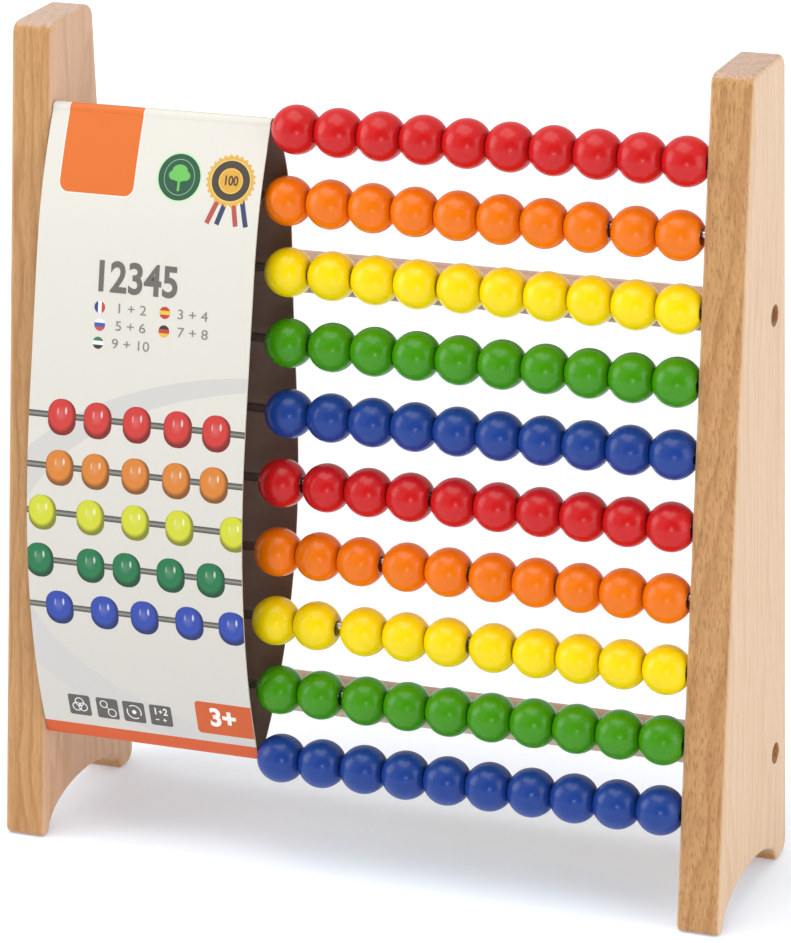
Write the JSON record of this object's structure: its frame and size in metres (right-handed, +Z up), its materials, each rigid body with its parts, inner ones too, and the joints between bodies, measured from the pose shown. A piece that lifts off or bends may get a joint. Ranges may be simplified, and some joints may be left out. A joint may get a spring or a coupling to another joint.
{
  "type": "abacus",
  "caption": "Children's wooden bead abacus: two tapered side panels joined by dowels, steel rods carrying coloured sliding beads, and a printed card sleeve around the bare part of the rods.",
  "frame": {"origin": "on the floor, under the middle of the bounding box", "axes": "+X along the rods to the right as seen from the front, +Y to the back, +Z up"},
  "size_m": [0.2814, 0.079, 0.302],
  "materials": {
    "beech_panel": "clear satin lacquer",
    "beech_crossbar": "clear satin lacquer",
    "beech_plug": "clear satin lacquer",
    "steel_rod": "bright plated",
    "screw_steel": "zinc plated",
    "printed_card": "printed card, satin",
    "red_bead_paint": "satin paint over wood",
    "orange_bead_paint": "satin paint over wood",
    "yellow_bead_paint": "satin paint over wood",
    "green_bead_paint": "satin paint over wood",
    "blue_bead_paint": "satin paint over wood"
  },
  "bodies": {
    "frame": {"left_side_panel": "beech_panel", "right_side_panel": "beech_panel", "upper_crossbar": "beech_crossbar", "lower_crossbar": "beech_crossbar", "rod_1": "steel_rod", "rod_2": "steel_rod", "rod_3": "steel_rod", "rod_4": "steel_rod", "rod_5": "steel_rod", "rod_6": "steel_rod", "rod_7": "steel_rod", "rod_8": "steel_rod", "rod_9": "steel_rod", "rod_10": "steel_rod", "crossbar_screws": "screw_steel", "screw_plugs": "beech_plug", "card_sleeve": "printed_card"},
    "row_1": {"row_1_bead_1": "red_bead_paint", "row_1_beads_2_to_5": "red_bead_paint", "row_1_beads_6_to_10": "red_bead_paint"},
    "row_2_right": {"row_2_beads_6_to_10": "orange_bead_paint"},
    "row_2_middle": {"row_2_beads_2_to_5": "orange_bead_paint"},
    "row_2_left": {"row_2_bead_1": "orange_bead_paint"},
    "row_3_right": {"row_3_beads_6_to_10": "yellow_bead_paint"},
    "row_3_middle": {"row_3_beads_2_to_5": "yellow_bead_paint"},
    "row_3_left": {"row_3_bead_1": "yellow_bead_paint"},
    "row_4_right": {"row_4_beads_6_to_10": "green_bead_paint"},
    "row_4_middle": {"row_4_beads_2_to_5": "green_bead_paint"},
    "row_4_left": {"row_4_bead_1": "green_bead_paint"},
    "row_5_right": {"row_5_beads_6_to_10": "blue_bead_paint"},
    "row_5_middle": {"row_5_beads_2_to_5": "blue_bead_paint"},
    "row_5_left": {"row_5_bead_1": "blue_bead_paint"},
    "row_6_right": {"row_6_beads_6_to_10": "red_bead_paint"},
    "row_6_middle": {"row_6_beads_2_to_5": "red_bead_paint"},
    "row_6_left": {"row_6_bead_1": "red_bead_paint"},
    "row_7_right": {"row_7_beads_6_to_10": "orange_bead_paint"},
    "row_7_middle": {"row_7_beads_2_to_5": "orange_bead_paint"},
    "row_7_left": {"row_7_bead_1": "orange_bead_paint"},
    "row_8_right": {"row_8_beads_6_to_10": "yellow_bead_paint"},
    "row_8_middle": {"row_8_beads_2_to_5": "yellow_bead_paint"},
    "row_8_left": {"row_8_bead_1": "yellow_bead_paint"},
    "row_9_right": {"row_9_beads_6_to_10": "green_bead_paint"},
    "row_9_middle": {"row_9_beads_2_to_5": "green_bead_paint"},
    "row_9_left": {"row_9_bead_1": "green_bead_paint"},
    "row_10": {"row_10_bead_1": "blue_bead_paint", "row_10_beads_2_to_5": "blue_bead_paint", "row_10_beads_6_to_10": "blue_bead_paint"}
  },
  "joints": [
    {"name": "row_1_slide", "type": "slide", "parent": "frame", "child": "row_1", "axis": [-1, 0, 0], "range_m": [0, 0.0008]},
    {"name": "row_2_right_beads_slide", "type": "slide", "parent": "frame", "child": "row_2_right", "axis": [-1, 0, 0], "range_m": [-0.0013, 0.017]},
    {"name": "row_2_middle_beads_slide", "type": "slide", "parent": "row_2_right", "child": "row_2_middle", "axis": [-1, 0, 0], "range_m": [0, 0.025]},
    {"name": "row_2_left_bead_slide", "type": "slide", "parent": "row_2_middle", "child": "row_2_left", "axis": [-1, 0, 0], "range_m": [0, 0.0425]},
    {"name": "row_3_right_beads_slide", "type": "slide", "parent": "frame", "child": "row_3_right", "axis": [-1, 0, 0], "range_m": [-0.0004, 0.017]},
    {"name": "row_3_middle_beads_slide", "type": "slide", "parent": "row_3_right", "child": "row_3_middle", "axis": [-1, 0, 0], "range_m": [0, 0.026]},
    {"name": "row_3_left_bead_slide", "type": "slide", "parent": "row_3_middle", "child": "row_3_left", "axis": [-1, 0, 0], "range_m": [0, 0.042]},
    {"name": "row_4_right_beads_slide", "type": "slide", "parent": "frame", "child": "row_4_right", "axis": [-1, 0, 0], "range_m": [-0.0004, 0.017]},
    {"name": "row_4_middle_beads_slide", "type": "slide", "parent": "row_4_right", "child": "row_4_middle", "axis": [-1, 0, 0], "range_m": [0, 0.026]},
    {"name": "row_4_left_bead_slide", "type": "slide", "parent": "row_4_middle", "child": "row_4_left", "axis": [-1, 0, 0], "range_m": [0, 0.043]},
    {"name": "row_5_right_beads_slide", "type": "slide", "parent": "frame", "child": "row_5_right", "axis": [-1, 0, 0], "range_m": [-0.0004, 0.017]},
    {"name": "row_5_middle_beads_slide", "type": "slide", "parent": "row_5_right", "child": "row_5_middle", "axis": [-1, 0, 0], "range_m": [0, 0.026]},
    {"name": "row_5_left_bead_slide", "type": "slide", "parent": "row_5_middle", "child": "row_5_left", "axis": [-1, 0, 0], "range_m": [0, 0.0435]},
    {"name": "row_6_right_beads_slide", "type": "slide", "parent": "frame", "child": "row_6_right", "axis": [-1, 0, 0], "range_m": [-0.0004, 0.017]},
    {"name": "row_6_middle_beads_slide", "type": "slide", "parent": "row_6_right", "child": "row_6_middle", "axis": [-1, 0, 0], "range_m": [0, 0.025]},
    {"name": "row_6_left_bead_slide", "type": "slide", "parent": "row_6_middle", "child": "row_6_left", "axis": [-1, 0, 0], "range_m": [0, 0.042]},
    {"name": "row_7_right_beads_slide", "type": "slide", "parent": "frame", "child": "row_7_right", "axis": [-1, 0, 0], "range_m": [-0.0008, 0.017]},
    {"name": "row_7_middle_beads_slide", "type": "slide", "parent": "row_7_right", "child": "row_7_middle", "axis": [-1, 0, 0], "range_m": [0, 0.025]},
    {"name": "row_7_left_bead_slide", "type": "slide", "parent": "row_7_middle", "child": "row_7_left", "axis": [-1, 0, 0], "range_m": [0, 0.041]},
    {"name": "row_8_right_beads_slide", "type": "slide", "parent": "frame", "child": "row_8_right", "axis": [-1, 0, 0], "range_m": [0, 0.017]},
    {"name": "row_8_middle_beads_slide", "type": "slide", "parent": "row_8_right", "child": "row_8_middle", "axis": [-1, 0, 0], "range_m": [0, 0.025]},
    {"name": "row_8_left_bead_slide", "type": "slide", "parent": "row_8_middle", "child": "row_8_left", "axis": [-1, 0, 0], "range_m": [0, 0.041]},
    {"name": "row_9_right_beads_slide", "type": "slide", "parent": "frame", "child": "row_9_right", "axis": [-1, 0, 0], "range_m": [-0.0003, 0.017]},
    {"name": "row_9_middle_beads_slide", "type": "slide", "parent": "row_9_right", "child": "row_9_middle", "axis": [-1, 0, 0], "range_m": [0, 0.026]},
    {"name": "row_9_left_bead_slide", "type": "slide", "parent": "row_9_middle", "child": "row_9_left", "axis": [-1, 0, 0], "range_m": [0, 0.042]},
    {"name": "row_10_slide", "type": "slide", "parent": "frame", "child": "row_10", "axis": [-1, 0, 0], "range_m": [-0.0003, 0.0001]}
  ]
}
